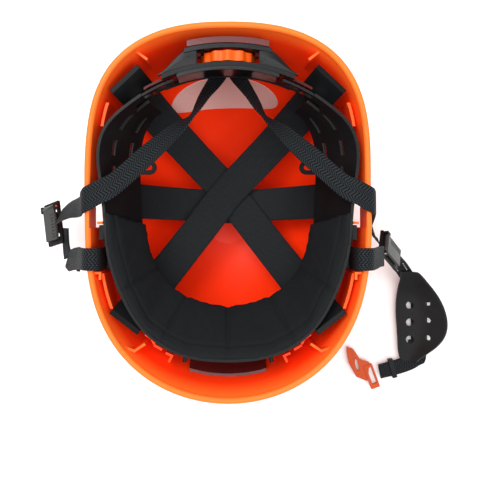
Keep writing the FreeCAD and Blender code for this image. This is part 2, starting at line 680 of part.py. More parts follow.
def make_cup():
    """The perforated rubber chin cup, curved round the strap that passes under it."""
    sections = [(-56, 163, 13, 34), (-64, 166, 20, 22), (-72, 167, 27, 12.5), (-81, 167, 34, 7.0),
                (-93, 166.5, 40, 5.2),
                (-109, 167, 42, 5.2), (-124, 168, 37, 5.2), (-138, 169, 24, 5.2), (-147, 172, 13, 5.6)]
    cup = Part.makeLoft([cup_section(*s) for s in sections], True, False)
    for y in (-92, -109, -126):
        cup = cup.cut(Part.makeCylinder(3.8, 40, Vec(180, y, -5)))
        tilt = Vec(-0.5, 0, 0.85)
        cup = cup.cut(Part.makeCylinder(2.6, 14, Vec(199.5, y + 3, 8), tilt))
    for y in (-87, -130):
        loop = box((180.4, 199.6), (y - 2.5, y + 2.5), (0.8, 7.4))
        loop = loop.cut(box((181.1, 198.9), (y - 3, y + 3), (1.8, 4.8)))
        cup = cup.fuse(loop)
    return cup


def make_hook():
    """The hook buckle: a frame round the strap's end and a flat tongue with an eye."""
    frame = placed_box(Vec(142.5, -163, 5.4), (0.94, 0.34, 0), (0.34, -0.94, 0), (9, 24, 3.6))
    bar_gap = placed_box(Vec(142.5, -162, 5.4), (0.94, 0.34, 0), (0.34, -0.94, 0), (4.6, 16.6, 8))
    frame = frame.cut(bar_gap)
    tongue = prism([(140.5, -149, 4.2), (131, -146, 4.2), (124.5, -136, 4.2), (117.8, -133.4, 4.2),
                    (118, -139, 4.2), (120, -150, 4.2), (127.5, -163.5, 4.2), (138.5, -168, 4.2)],
                   (0, 0, 2.2))
    eye = prism([(126.6, -145, 0), (128.6, -147.4, 0), (130.6, -157, 0), (128, -157, 0), (126, -150, 0)],
                (0, 0, 20))
    return frame.fuse(tongue.cut(eye))


def make_keeper():
    """The small frame that holds the strap's two layers together."""
    at = Vec(163.5, -155.1, 4.6)
    outer = placed_box(at, (0.966, 0.26, 0), (0.26, -0.966, 0), (4.5, 19, 4.8))
    return outer.cut(placed_box(at, (0.966, 0.26, 0), (0.26, -0.966, 0), (6, 16.4, 3.0)))


def make_receiver():
    """The ring under the left fold that the hook buckle closes on."""
    at = Vec(-130.5, -41, 76)
    plate = placed_box(at, (0.1, 1, 0), (-0.35, 0, -0.94), (20, 17, 2.6))
    return plate.cut(placed_box(at + Vec(0.9, 0, 2.5), (0.1, 1, 0), (-0.35, 0, -0.94), (14, 7, 5)))


def make_rear_anchor():
    """The bar behind the nape band that both rear legs are looped on."""
    bar = box((-19, 19), (118.2, 120.2), (95, 103.5))
    plate = box((-24, -18), (118.2, 120.8), (92, 106))
    return bar.fuse([plate, mirrored(plate)])


def make_side_anchor():
    """The block in the left side pocket that holds the front leg."""
    block = box((-98.6, -94.8), (-21.5, -10), (122, 141))
    foot = box((-97.8, -93.2), (-44.8, -20), (119, 127.0))
    return block.fuse(foot)


# ---------------------------------------------------------------- all parts

def build_parts():
    left_frame = (LEFT_DIVIDER, Vec(0.16, -0.97, 0.16), Vec(0.78, 0.05, 0.62))
    right_frame = (RIGHT_DIVIDER, Vec(0.55, -0.5, -0.66), Vec(0.2, 0.85, -0.45))
    arm_left = rack_arm((134.4, 141.0), (134.0, 135.4))
    arm_right = mirrored(rack_arm((119.0, 125.6), (124.6, 126.0)))
    other_rear = Vec(-REAR_CLIP.x, REAR_CLIP.y, REAR_CLIP.z)
    other_front = Vec(-FRONT_CLIP.x, FRONT_CLIP.y, FRONT_CLIP.z)
    other_side = Vec(-SIDE_CLIP.x, SIDE_CLIP.y, SIDE_CLIP.z)
    second_crossing = CROSSING + Vec(0, 0, STRAP_STACK)
    rear_hanger = hanger(REAR_CLIP, CROSSING, (0.98, 0.845), 29)
    front_hanger = hanger(FRONT_CLIP, CROSSING, (0.98, 0.845), 27)
    side_hanger = hanger(SIDE_CLIP, SIDE_CROSSING, (0.985, 0.9), 29)
    return {
        "shell": make_shell(),
        "inner_label": make_label(),
        "peak_strip": make_front_strip(),
        "crown_strap_side": crown_strap(SIDE_CROSSING, SIDE_CLIP, other_side, SIDE_HEIGHTS),
        "crown_strap_a": crown_strap(CROSSING, REAR_CLIP, other_front, diagonal_heights(0)),
        "crown_strap_b": crown_strap(second_crossing, other_rear, FRONT_CLIP, diagonal_heights(STRAP_STACK)),
        "hanger_rear_left": rear_hanger,
        "hanger_rear_right": mirrored(rear_hanger),
        "hanger_front_left": front_hanger,
        "hanger_front_right": mirrored(front_hanger),
        "hanger_side_left": side_hanger,
        "hanger_side_right": mirrored(side_hanger),
        **headband_lengths(),
        "sweatband": make_sweatband(),
        "rear_strap_anchor": make_rear_anchor(),
        "side_anchor_left": make_side_anchor(),
        "side_anchor_right": mirrored(make_side_anchor()),
        "rear_leg_left_inner": ribbon(REAR_LEG_INNER),
        "rear_leg_right_inner": ribbon(flipped(REAR_LEG_INNER)),
        "front_leg_left_inner": ribbon(FRONT_LEG_INNER),
        "front_leg_right_inner": ribbon(flipped(FRONT_LEG_INNER)),
        "nape_band": make_nape_band(),
        "ratchet_housing": make_housing(),
        "ratchet_cover": make_cover(),
        "rear_guard": make_guard(),
        "housing_screws": make_screws(),
        "click_spring": make_spring(),
        "size_knob": make_knob(),
        "pinion": make_pinion(),
        "rack_arm_left": arm_left,
        "rack_arm_right": arm_right,
        "rear_leg_left": ribbon(REAR_LEG_OUTER_START + LEFT_REAR_LEG_END),
        "front_leg_left": ribbon(FRONT_LEG_OUTER_START + LEFT_FRONT_LEG_END),
        "lower_web_left": ribbon(LEFT_LOWER_WEB),
        "divider_base_left": divider_base(*left_frame),
        "divider_pin_left": divider_pin(*left_frame),
        "divider_cam_left": divider_cam(*left_frame),
        "buckle_receiver": make_receiver(),
        "rear_leg_right": ribbon(flipped(REAR_LEG_OUTER_START) + RIGHT_REAR_LEG_END),
        "front_leg_right": ribbon(flipped(FRONT_LEG_OUTER_START) + RIGHT_FRONT_LEG_END),
        "divider_base_right": divider_base(*right_frame),
        "divider_pin_right": divider_pin(*right_frame),
        "divider_cam_right": divider_cam(*right_frame),
        "chin_strap": ribbon(CHIN_STRAP),
        "chin_cup": make_cup(),
        "strap_keeper": make_keeper(),
        "hook_buckle": make_hook(),
    }


os.makedirs("parts", exist_ok=True)
for name, shape in build_parts().items():
    print(name, len(shape.Solids), "solids", "valid" if shape.isValid() else "NOT VALID", round(shape.Volume))
    shape.exportStep("parts/" + name + ".step")
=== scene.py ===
import json
import math

import bmesh
import bpy
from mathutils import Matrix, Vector


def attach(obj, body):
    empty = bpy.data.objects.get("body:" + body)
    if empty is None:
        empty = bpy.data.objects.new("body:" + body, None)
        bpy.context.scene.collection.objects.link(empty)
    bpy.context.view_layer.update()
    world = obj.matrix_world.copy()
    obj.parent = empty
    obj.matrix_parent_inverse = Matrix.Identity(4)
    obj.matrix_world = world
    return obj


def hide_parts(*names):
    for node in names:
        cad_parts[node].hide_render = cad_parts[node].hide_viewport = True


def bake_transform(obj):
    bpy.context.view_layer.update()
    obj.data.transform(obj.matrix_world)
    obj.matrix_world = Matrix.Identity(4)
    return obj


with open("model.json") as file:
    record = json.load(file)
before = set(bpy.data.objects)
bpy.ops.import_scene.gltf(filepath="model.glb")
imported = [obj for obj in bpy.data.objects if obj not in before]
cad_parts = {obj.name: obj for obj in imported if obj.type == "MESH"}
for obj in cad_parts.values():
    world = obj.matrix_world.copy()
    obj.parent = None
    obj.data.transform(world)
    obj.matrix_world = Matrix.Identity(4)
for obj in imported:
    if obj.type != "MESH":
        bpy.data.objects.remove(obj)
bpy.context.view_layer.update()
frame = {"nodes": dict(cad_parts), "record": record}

# Forestry helmet lying on its crown. The frame is in metres: +Z out of the head opening, peak at -Y.

nodes = frame["nodes"]
MM = 0.001

CAMERA_HEIGHT = 0.590        # metres above the floor, assumed
CAMERA_LENS = 44.1
CAMERA_SHIFT = (0.025, -0.058)

WEB_THICKNESS = 1.6          # all strap sizes below are in millimetres
CROWN_THICKNESS = 1.5
CROWN_WIDTH = 30.0
WOVEN_EDGE = 0.8             # the share of a strap's half width where it starts to thin
STEPS = 6                    # mesh rows between two stations of a strap

PAD_TOP_Z = 150.0
PAD_LOW_Z = 104.6
PAD_CENTRE_Y = -10.0         # the sweatband's seams fan out from this point
PAD_SEAMS = (-58, -30, 0, 30, 58)
SEAM_DEPTH, SEAM_WIDTH = 1.5, 1.6
HEM_Z, HEM_DEPTH, HEM_WIDTH = 143.0, 0.8, 1.1
SWELL_FRAMES = 16

WORLD_STRENGTH = 0.70
LIGHTS = {                   # place, disk size and power
    "key": ((-0.45, 0.5, 1.15), 0.7, 10),
    "fill": ((0.7, -0.5, 1.0), 0.9, 5),
    "top": ((0.0, 0.0, 1.3), 1.0, 9)}
LIGHT_AIM = Vector((0, 0, 0.08))


# ---------------------------------------------------------------- camera, floor and light

def add_camera():
    data = bpy.data.cameras.new("camera")
    data.sensor_width = 36.0
    data.lens = CAMERA_LENS
    data.shift_x, data.shift_y = CAMERA_SHIFT
    data.clip_start = 0.01
    camera = bpy.data.objects.new("camera", data)
    camera.location = (0, 0, CAMERA_HEIGHT)
    bpy.context.scene.collection.objects.link(camera)
    bpy.context.scene.camera = camera


def add_area_light(name, location, size, power):
    data = bpy.data.lights.new(name, "AREA")
    data.shape = "DISK"
    data.size = size
    data.energy = power
    light = bpy.data.objects.new(name, data)
    light.location = location
    aim = LIGHT_AIM - Vector(location)
    light.rotation_euler = aim.to_track_quat("-Z", "Y").to_euler()
    bpy.context.scene.collection.objects.link(light)


def add_surroundings():
    bpy.ops.mesh.primitive_plane_add(size=8, location=(0, 0, -0.0004))
    floor = bpy.context.object
    floor.name = "floor"
    floor.data.materials.append(floor_finish())
    world = bpy.data.worlds.new("studio")
    world.use_nodes = True
    background = world.node_tree.nodes["Background"]
    background.inputs[0].default_value = (1.0, 1.0, 1.0, 1)
    background.inputs[1].default_value = WORLD_STRENGTH
    bpy.context.scene.world = world
    bpy.context.scene.view_settings.view_transform = "Standard"
    for name, (location, size, power) in LIGHTS.items():
        add_area_light(name, location, size, power)


# ---------------------------------------------------------------- mesh helpers

def mesh_from(bm, name, smooth=False):
    """Turns an edit mesh into a mesh with its faces pointing out, and frees it."""
    bmesh.ops.recalc_face_normals(bm, faces=bm.faces)
    if smooth:
        for face in bm.faces:
            face.smooth = True
    mesh = bpy.data.meshes.new(name)
    bm.to_mesh(mesh)
    bm.free()
    return mesh


def add_object(name, mesh, finish=None):
    piece = bpy.data.objects.new(name, mesh)
    bpy.context.scene.collection.objects.link(piece)
    if finish:
        piece.data.materials.append(finish)
    return piece


# ---------------------------------------------------------------- finishes

class Finish:
    """A Principled material whose colour, roughness and bump come from nodes."""

    def __init__(self, name, **sockets):
        self.material = bpy.data.materials.new(name)
        self.material.use_nodes = True
        self.tree = self.material.node_tree
        self.shader = self.tree.nodes["Principled BSDF"]
        for socket, value in sockets.items():
            self.shader.inputs[socket.replace("_", " ")].default_value = value

    def node(self, kind, inputs, output=0, **settings):
        new = self.tree.nodes.new(kind)
        for setting, value in settings.items():
            setattr(new, setting, value)
        for socket, value in inputs.items():
            if isinstance(value, bpy.types.NodeSocket):
                self.tree.links.new(value, new.inputs[socket])
            else:
                new.inputs[socket].default_value = value
        return new.outputs[output]

    def place(self):
        return self.node("ShaderNodeTexCoord", {}, 3)

    def cloth(self):
        """Metres along and across a strap, from its own map."""
        return self.node("ShaderNodeUVMap", {}, uv_map="cloth")

    def part(self, vector, axis):
        return self.node("ShaderNodeSeparateXYZ", {0: vector}, axis)

    def math(self, operation, first, second=0.0):
        return self.node("ShaderNodeMath", {0: first, 1: second}, operation=operation)

    def noise(self, vector, scale, detail=3.0, roughness=0.55):
        return self.node("ShaderNodeTexNoise", {"Vector": vector, "Scale": scale, "Detail": detail,
                                                "Roughness": roughness})

    def stretched(self, vector, x, y, z):
        return self.node("ShaderNodeMapping", {"Vector": vector, "Scale": (x, y, z)})

    def spread(self, value, low, high, to_low=0.0, to_high=1.0):
        return self.node("ShaderNodeMapRange", {0: value, 1: low, 2: high, 3: to_low, 4: to_high})

    def mix(self, share, first, second):
        colours = {0: share, 6: colour(first), 7: colour(second)}
        return self.node("ShaderNodeMix", colours, 2, data_type="RGBA")

    def set(self, socket, value):
        self.tree.links.new(value, self.shader.inputs[socket])

    def bump(self, height, distance, strength=1.0):
        self.set("Normal", self.node("ShaderNodeBump", {"Height": height, "Distance": distance,
                                                        "Strength": strength}))


def colour(value):
    return value if isinstance(value, bpy.types.NodeSocket) else (*value, 1.0)


def floor_finish():
    finish = Finish("floor_pale", Roughness=0.7)
    cloud = finish.noise(finish.place(), 3.0)
    finish.set("Base Color", finish.mix(cloud, (0.90, 0.90, 0.895), (0.93, 0.93, 0.93)))
    return finish.material


def faces_out(finish, place):
    """1 on the shell's outer face and 0 on its inner face, from the surface's own direction."""
    from_middle = finish.node("ShaderNodeVectorMath", {0: place, 1: (0, 0, 0.15)}, operation="SUBTRACT")
    normal = finish.node("ShaderNodeTexCoord", {}, 1)
    away = finish.node("ShaderNodeVectorMath", {0: normal, 1: from_middle}, 1, operation="DOT_PRODUCT")
    return finish.spread(away, -0.01, 0.01)


def shell_finish():
    """Glossy orange ABS with faint clouds, scuffs and orange peel. Painted light and shade: the outer face
    is a lighter, lit copy of the inner face's orange, and the rolled rim carries a painted highlight.
    """
    finish = Finish("shell_orange", Specular_IOR_Level=0.15)
    place = finish.place()
    clouds = finish.noise(place, 16.0, 2.0)
    # painted light and shade: one orange ABS as a shaded, redder copy on the inner face and a lit, lighter
    # copy on the outer face
    inside = finish.mix(clouds, (0.90, 0.026, 0.002), (0.96, 0.040, 0.004))
    lit_outer_orange = finish.mix(clouds, (0.90, 0.085, 0.006), (0.96, 0.110, 0.010))
    body = finish.mix(faces_out(finish, place), inside, lit_outer_orange)
    # painted highlight: the orange gets lighter towards the top of the rolled rim, where light falls on the
    # bead
    rim = finish.spread(finish.part(place, 2), 0.1310, 0.1480, 0.0, 0.85)
    painted_rim_highlight = finish.mix(rim, body, (0.96, 0.175, 0.022))
    scuffs = finish.spread(finish.noise(finish.stretched(place, 60, 420, 60), 2.0, 4.0), 0.66, 0.74)
    worn = finish.math("MULTIPLY", scuffs, 0.12)
    finish.set("Base Color", finish.mix(worn, painted_rim_highlight, (0.95, 0.22, 0.06)))
    gloss = finish.spread(finish.noise(place, 45.0, 4.0), 0.3, 0.7, 0.34, 0.50)
    finish.set("Roughness", finish.math("ADD", gloss, finish.math("MULTIPLY", scuffs, 0.15)))
    finish.bump(finish.noise(place, 900.0, 2.0), 0.00006, 0.5)
    return finish.material


def moulded_finish(name, dark, light, gloss, grain=1400.0, depth=0.00010, **sockets):
    """Moulded plastic: fine grain, colour clouds, and lighter scuffed patches."""
    finish = Finish(name, **sockets)
    place = finish.place()
    clouds = finish.noise(place, 55.0, 3.0)
    base = finish.mix(clouds, dark, light)
    streaks = finish.noise(finish.stretched(place, 90, 350, 200), 3.0, 5.0)
    scuffs = finish.spread(streaks, 0.64, 0.78, 0.0, 0.35)
    worn = tuple(min(1.0, c * 1.7 + 0.015) for c in light)
    finish.set("Base Color", finish.mix(scuffs, base, worn))
    finish.set("Roughness", finish.spread(clouds, 0.3, 0.7, gloss, gloss + 0.14))
    finish.bump(finish.noise(place, grain, 2.0), depth, 0.6)
    return finish.material


def webbing_finish(name, zigzag, picks, depth):
    """Black polyester webbing: herringbone ribs, woven edges and a cool sheen painted into the colour of the
    high threads.
    """
    finish = Finish(name, Specular_IOR_Level=0.06)
    along = finish.part(finish.cloth(), 0)
    across = finish.part(finish.cloth(), 1)
    fold = finish.math("PINGPONG", across, zigzag)
    slant = finish.math("ADD", along, finish.math("MULTIPLY", fold, 0.9))
    ribs = finish.math("SINE", finish.math("MULTIPLY", slant, 2 * math.pi / picks))
    warp = finish.math("SINE", finish.math("MULTIPLY", across, 2 * math.pi / (picks * 0.62)))
    threads = finish.math("ADD", finish.math("MULTIPLY", ribs, 0.65), finish.math("MULTIPLY", warp, 0.35))
    height = finish.spread(threads, -1.0, 1.0)
    fuzz = finish.noise(finish.place(), 260.0, 4.0)
    black = finish.mix(fuzz, (0.0022, 0.0024, 0.0028), (0.0050, 0.0056, 0.0062))
    # painted sheen: the high threads of the ribs are painted a lighter, cool blue-grey
    painted_sheen = finish.math("POWER", height, 2.2)
    finish.set("Base Color", finish.mix(painted_sheen, black, (0.034, 0.040, 0.045)))
    finish.set("Roughness", finish.spread(height, 0.0, 1.0, 0.72, 0.42))
    finish.bump(finish.math("ADD", height, finish.math("MULTIPLY", fuzz, 0.25)), depth, 1.0)
    return finish.material


def padding_finish():
    """Charcoal knitted cover of the sweatband, with a little pilling."""
    finish = Finish("padding_cloth", Specular_IOR_Level=0.05)
    along = finish.part(finish.cloth(), 0)
    across = finish.part(finish.cloth(), 1)
    stitch = 2 * math.pi / 0.0013
    rows = finish.math("SINE", finish.math("MULTIPLY", across, stitch))
    sway = finish.math("MULTIPLY", finish.math("ABSOLUTE", rows), 0.0004)
    columns = finish.math("SINE", finish.math("MULTIPLY", finish.math("ADD", along, sway), stitch))
    knit = finish.spread(finish.math("MULTIPLY", rows, columns), -1.0, 1.0)
    pilling = finish.noise(finish.place(), 190.0, 5.0, 0.7)
    base = finish.mix(pilling, (0.0040, 0.0044, 0.0050), (0.0110, 0.0120, 0.0130))
    finish.set("Base Color", finish.mix(finish.math("MULTIPLY", knit, 0.5), base, (0.020, 0.022, 0.024)))
    finish.set("Roughness", finish.spread(pilling, 0.3, 0.7, 0.80, 0.97))
    finish.bump(finish.math("ADD", knit, finish.math("MULTIPLY", pilling, 0.6)), 0.00022, 0.8)
    return finish.material


def rubber_finish():
    """Soft chin cup rubber with a fine cross-hatched grip and dusty worn patches."""
    finish = Finish("rubber", Specular_IOR_Level=0.12)
    place = finish.place()
    pitch = 2 * math.pi / 0.0016
    x = finish.math("SINE", finish.math("MULTIPLY", finish.part(place, 0), pitch))
    y = finish.math("SINE", finish.math("MULTIPLY", finish.part(place, 1), pitch))
    hatch = finish.spread(finish.math("MULTIPLY", x, y), -1.0, 1.0)
    dust = finish.noise(place, 70.0, 5.0)
    base = finish.mix(dust, (0.0050, 0.0054, 0.0058), (0.0150, 0.0160, 0.0170))
    finish.set("Base Color", finish.mix(finish.math("MULTIPLY", hatch, 0.3), base, (0.026, 0.028, 0.030)))
    finish.set("Roughness", finish.spread(dust, 0.3, 0.7, 0.50, 0.72))
    finish.bump(hatch, 0.00016, 0.8)
    return finish.material


def label_finish():
    """A blank silvery label, painted pink as a reflection of the orange shell, with fine brushed streaks and
    a scuffed, slightly wrinkled face.
    """
    finish = Finish("label_foil", Specular_IOR_Level=0.4)
    place = finish.place()
    streaks = finish.noise(finish.stretched(place, 40, 900, 900), 1.0, 3.0)
    # painted reflection: both colours are the silvery label tinted pink by light reflected from the orange
    # shell
    finish.set("Base Color", finish.mix(streaks, (0.60, 0.37, 0.33), (0.74, 0.48, 0.44)))
    wrinkles = finish.noise(place, 120.0, 2.0)
    finish.set("Roughness", finish.spread(wrinkles, 0.3, 0.7, 0.28, 0.46))
    finish.bump(wrinkles, 0.0002, 0.5)
    return finish.material


def steel_finish():
    """Brushed steel pins and screws, with faint tarnish."""
    finish = Finish("steel", Metallic=1.0)
    place = finish.place()
    brushed = finish.noise(finish.stretched(place, 300, 2400, 300), 1.0, 3.0)
    finish.set("Base Color", finish.mix(brushed, (0.30, 0.29, 0.28), (0.62, 0.61, 0.60)))
    finish.set("Roughness", finish.spread(brushed, 0.3, 0.7, 0.25, 0.45))
    finish.bump(brushed, 0.00004, 0.5)
    return finish.material


def thread_finish():
    finish = Finish("stitch_thread", Sheen_Weight=0.2)
    place = finish.place()
    twist = finish.math("SINE", finish.math("MULTIPLY", finish.part(place, 1), 2 * math.pi / 0.0005))
    fuzz = finish.noise(place, 800.0, 3.0)
    finish.set("Base Color", finish.mix(fuzz, (0.36, 0.36, 0.35), (0.62, 0.62, 0.60)))
    finish.set("Roughness", finish.spread(fuzz, 0.3, 0.7, 0.6, 0.8))
    finish.bump(twist, 0.0001, 0.6)
    return finish.material


def make_finishes():
    return {
        "shell_orange": shell_finish(),
        "label": label_finish(),
        "smoked": moulded_finish("smoked", (0.060, 0.006, 0.006), (0.110, 0.012, 0.011), 0.12,
                                 500, 0.00004, Specular_IOR_Level=0.30),
        "wide_webbing": webbing_finish("wide_webbing", 0.0030, 0.0014, 0.00020),
        "webbing": webbing_finish("webbing", 0.0042, 0.0026, 0.00050),
        "black_plastic": moulded_finish("black_plastic", (0.0030, 0.0032, 0.0036),
                                        (0.0070, 0.0075, 0.0080), 0.36, Specular_IOR_Level=0.14),
        "glossy_black": moulded_finish("glossy_black", (0.004, 0.004, 0.005), (0.010, 0.011, 0.012), 0.12,
                                       1100.0, 0.00022, Specular_IOR_Level=0.14),
        "grey_plastic": moulded_finish("grey_plastic", (0.020, 0.021, 0.020), (0.046, 0.047, 0.044), 0.26,
                                       Specular_IOR_Level=0.30),
        "rack_plastic": moulded_finish("rack_plastic", (0.036, 0.0030, 0.0025),
                                       (0.080, 0.0060, 0.0045), 0.22, 700.0, 0.00006,
                                       Specular_IOR_Level=0.10),
        "padding": padding_finish(),
        "knob_orange": moulded_finish("knob_orange", (0.68, 0.070, 0.002), (0.80, 0.100, 0.004), 0.34,
                                      Specular_IOR_Level=0.2),
        "buckle_red": moulded_finish("buckle_red", (0.40, 0.050, 0.008), (0.54, 0.078, 0.014), 0.24, 700.0,
                                     0.00008, Specular_IOR_Level=0.14),
        "rubber": rubber_finish(),
        "steel": steel_finish(),
    }


# ---------------------------------------------------------------- straps

FLAT = (0, 1, 0)

REAR_LEG_INNER = [
    ((-7.5, 116.4, 99), (1, 0.05, 0), 15), ((-8.2, 112, 103), (1, 0.05, 0), 15),
    ((-20, 92, 112), (0.6, 0.1, 0.6), 17), ((-29, 77, 119), (0.3, -0.1, 0.95), 17),
    ((-45.7, 60, 130), (0.3, -0.75, 0.45), 17), ((-64, 41.6, 141), (0.4, -0.9, 0.1), 17),
    ((-85.4, 21, 150), (0.2, -0.97, 0), 18), ((-96.4, 15, 151.2), (0, -1, 0), 19)]
REAR_LEG_FOLD = [((-103, 11.6, 149.9), FLAT, 20), ((-109.2, 8.8, 147.0), FLAT, 19.5),
                 ((-112.8, 6.5, 139), FLAT, 19)]
LEFT_REAR_END = [((-118, 4.5, 124), (0.2, 0.95, 0), 18), ((-128, 3, 106), (0.3, 0.9, -0.2), 17),
                 ((-139, -0.5, 90), (0.3, 0.85, -0.3), 17), ((-146.5, -4, 78), (0.3, 0.85, -0.3), 17)]
RIGHT_REAR_END = [((113.6, -4, 124), (-0.1, 0.9, 0.4), 17), ((117.5, -13, 108), (-0.2, 0.5, 0.8), 17),
                  ((123, -20.5, 97), (-0.3, 0.2, 0.9), 17), ((128, -24.5, 89), (-0.3, 0.3, 0.8), 17)]
FRONT_LEG = [((-96, -35.5, 128), FLAT, 17), ((-96.8, -35.5, 140), FLAT, 17),
             ((-98.4, -35.5, 147.4), FLAT, 17), ((-103, -35.5, 149.9), FLAT, 17),
             ((-108.6, -35.6, 146.6), FLAT, 17), ((-112.6, -35.8, 139), FLAT, 17)]
LEFT_FRONT_END = [((-120, -37, 119), (0.1, 1, 0), 18), ((-128, -39, 102), (0.1, 1, 0), 19),
                  ((-134, -41, 90), (0.1, 1, 0), 19), ((-138, -40, 82), (0.3, 0.9, 0.1), 17)]
RIGHT_FRONT_END = [((120, -36, 121), FLAT, 17), ((127, -36.5, 104), FLAT, 17), ((131, -37.2, 94), FLAT, 17)]
LOWER_WEB = [((-143.4, -14, 71), (0.6, 0, 0.8), 14), ((-142, -27, 75), (0.6, 0, 0.8), 14),
             ((-138, -39, 83), (0.6, 0.3, 0.7), 14)]
CHIN_STRAP = [((147.8, -39.4, 65.8), (0.3, 0.85, -0.4), 14), ((149.2, -42.2, 61.6), (0.5, 0.75, -0.4), 14),
              ((153.6, -45.6, 56.6), (0.8, 0.4, -0.4), 15), ((159, -50, 46), (0.95, 0.2, -0.2), 16),
              ((168, -57, 29), (1, 0, 0), 16), ((178, -66, 12.4), (1, 0, 0), 16),
              ((186, -74, 4.3), (1, 0, 0), 16), ((190, -80, 3.2), (1, 0, 0), 16),
              ((190, -141, 3.2), (1, 0, 0), 16), ((184, -148, 3.6), (0.75, -0.66, 0), 16),
              ((172, -153, 4.2), (0.45, -0.9, 0), 15), ((150.5, -158.5, 5.2), (0.2, -1, 0), 14)]

CROSSING = Vector((0, 18, 45))
SIDE_CROSSING = Vector((0, 4.7, 41.8))
STRAP_STACK = 3.0
REAR_CLIP = Vector((-81.5, 104.5, 142))
FRONT_CLIP = Vector((-81.5, -87.5, 142))
SIDE_CLIP = Vector((-97.5, 10.5, 128))
ARM_HEIGHTS = [(0.26, 48.5), (0.50, 58), (0.70, 75), (0.81, 94), (0.86, 110.5)]
SIDE_HEIGHTS = [(0.26, 43.2), (0.52, 52), (0.74, 70), (0.84, 86), (0.89, 97.5)]


def flipped(stations):
    """The same strap on the right side."""
    return [((-p[0], p[1], p[2]), (a[0], -a[1], -a[2]), w) for p, a, w in stations]


def smoothed(stations):
    """(point, width direction, width) along a smooth curve through the stations."""
    points = [Vector(s[0]) for s in stations]
    across = [Vector(stations[0][1]).normalized()]
    for station in stations[1:]:
        direction = Vector(station[1]).normalized()
        across.append(direction if direction.dot(across[-1]) > 0 else -direction)
    last = len(points) - 1
    rows = []
    for i in range(last):
        p0, p1, p2, p3 = (points[max(i - 1, 0)], points[i], points[i + 1], points[min(i + 2, last)])
        for k in range(STEPS):
            t = k / STEPS
            point = (p1 * 2 + (p2 - p0) * t + (p0 * 2 - p1 * 5 + p2 * 4 - p3) * t ** 2
                     + (p1 * 3 - p0 - p2 * 3 + p3) * t ** 3) * 0.5
            width = stations[i][2] * (1 - t) + stations[i + 1][2] * t
            rows.append((point, (across[i] * (1 - t) + across[i + 1] * t).normalized(), width))
    rows.append((points[last], across[last], stations[last][2]))
    return rows


def strap_rows(stations):
    """Rows of (point, width direction, face normal, width, distance along the strap)."""
    rows = smoothed(stations)
    result = []
    along = 0.0
    for i, (point, across, width) in enumerate(rows):
        before = rows[max(i - 1, 0)][0]
        after = rows[min(i + 1, len(rows) - 1)][0]
        normal = (after - before).normalized().cross(across).normalized()
        if i:
            along += (point - before).length
        result.append((point, across, normal, width, along))
    return result


def strap(name, stations, thickness, finish, ripple=0.25):
    """A flat woven strap with thin woven edges, built through its stations."""
    rows = strap_rows(stations)
    shares = [-1, -0.94, -0.8, -0.5, -0.17, 0.17, 0.5, 0.8, 0.94, 1]
    bm = bmesh.new()
    cloth = bm.loops.layers.uv.new("cloth")
    rings = []
    for point, across, normal, width, along in rows:
        ring = []
        for side in (1, -1):
            for share in shares[::side]:
                edge = max(0.0, (abs(share) - WOVEN_EDGE) / (1 - WOVEN_EDGE))
                half = thickness / 2 * (1 - 0.62 * edge ** 2)
                wave = ripple * math.sin(along * 0.16 + 2.5 * share) * (share ** 2)
                spot = point + across * (share * width / 2) + normal * (half * side + wave)
                ring.append((bm.verts.new(spot * MM), along * MM, share * width / 2 * MM))
        rings.append(ring)
    count = len(rings[0])
    for near, far in zip(rings, rings[1:]):
        for i in range(count):
            j = (i + 1) % count
            corners = (near[i], near[j], far[j], far[i])
            face = bm.faces.new([c[0] for c in corners])
            for loop, corner in zip(face.loops, corners):
                loop[cloth].uv = corner[1:]
    for ring in (rings[0], list(reversed(rings[-1]))):
        face = bm.faces.new([c[0] for c in ring])
        for loop, corner in zip(face.loops, ring):
            loop[cloth].uv = corner[1:]
    return add_object(name, mesh_from(bm, name, smooth=True), finish), rows


def stitches(name, rows, share, reach, finish, length=2.2, gap=1.2, lift=1.0):
    """A row of raised stitches along a strap, at a share of its half width, over part of its length."""
    bm = bmesh.new()
    total = rows[-1][4]
    at = reach[0] * total
    while at < reach[1] * total:
        row = min(rows, key=lambda r: abs(r[4] - at - length / 2))
        nearby = min(rows, key=lambda r: abs(r[4] - row[4] - 3))
        forward = (nearby[0] - row[0]).normalized()
        point, across, normal, width, along = row
        slip = at + length / 2 - along
        centre = point + forward * slip + across * (share * width / 2) + normal * lift
        ring_points = []
        for end in (-1, -0.6, 0, 0.6, 1):
            radius = 0.42 * math.sqrt(max(0.02, 1 - end ** 2 * 0.95))
            ring = []
            for k in range(6):
                a = 2 * math.pi * k / 6
                spot = centre + forward * (end * length / 2) + across * (radius * math.cos(a))
                ring.append(bm.verts.new((spot + normal * (radius * math.sin(a) - 0.15 * end ** 2)) * MM))
            ring_points.append(ring)
        for near, far in zip(ring_points, ring_points[1:]):
            for k in range(6):
                bm.faces.new((near[k], near[(k + 1) % 6], far[(k + 1) % 6], far[k]))
        bm.faces.new(ring_points[0])
        bm.faces.new(list(reversed(ring_points[-1])))
        at += length + gap
    return add_object(name, mesh_from(bm, name, smooth=True), finish)


def add_legs(finishes):
    """The four chin strap legs: each is one strap that folds over the rim."""
    legs = [
        ("rear", "left", REAR_LEG_INNER + REAR_LEG_FOLD + LEFT_REAR_END),
        ("rear", "right", flipped(REAR_LEG_INNER + REAR_LEG_FOLD) + RIGHT_REAR_END),
        ("front", "left", FRONT_LEG + LEFT_FRONT_END),
        ("front", "right", flipped(FRONT_LEG) + RIGHT_FRONT_END)]
    for place, side, stations in legs:
        piece, rows = strap(f"{place}_strap_{side}", stations, WEB_THICKNESS, finishes["webbing"])
        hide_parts(f"{place}_leg_{side}_inner", f"{place}_leg_{side}")
        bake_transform(piece)


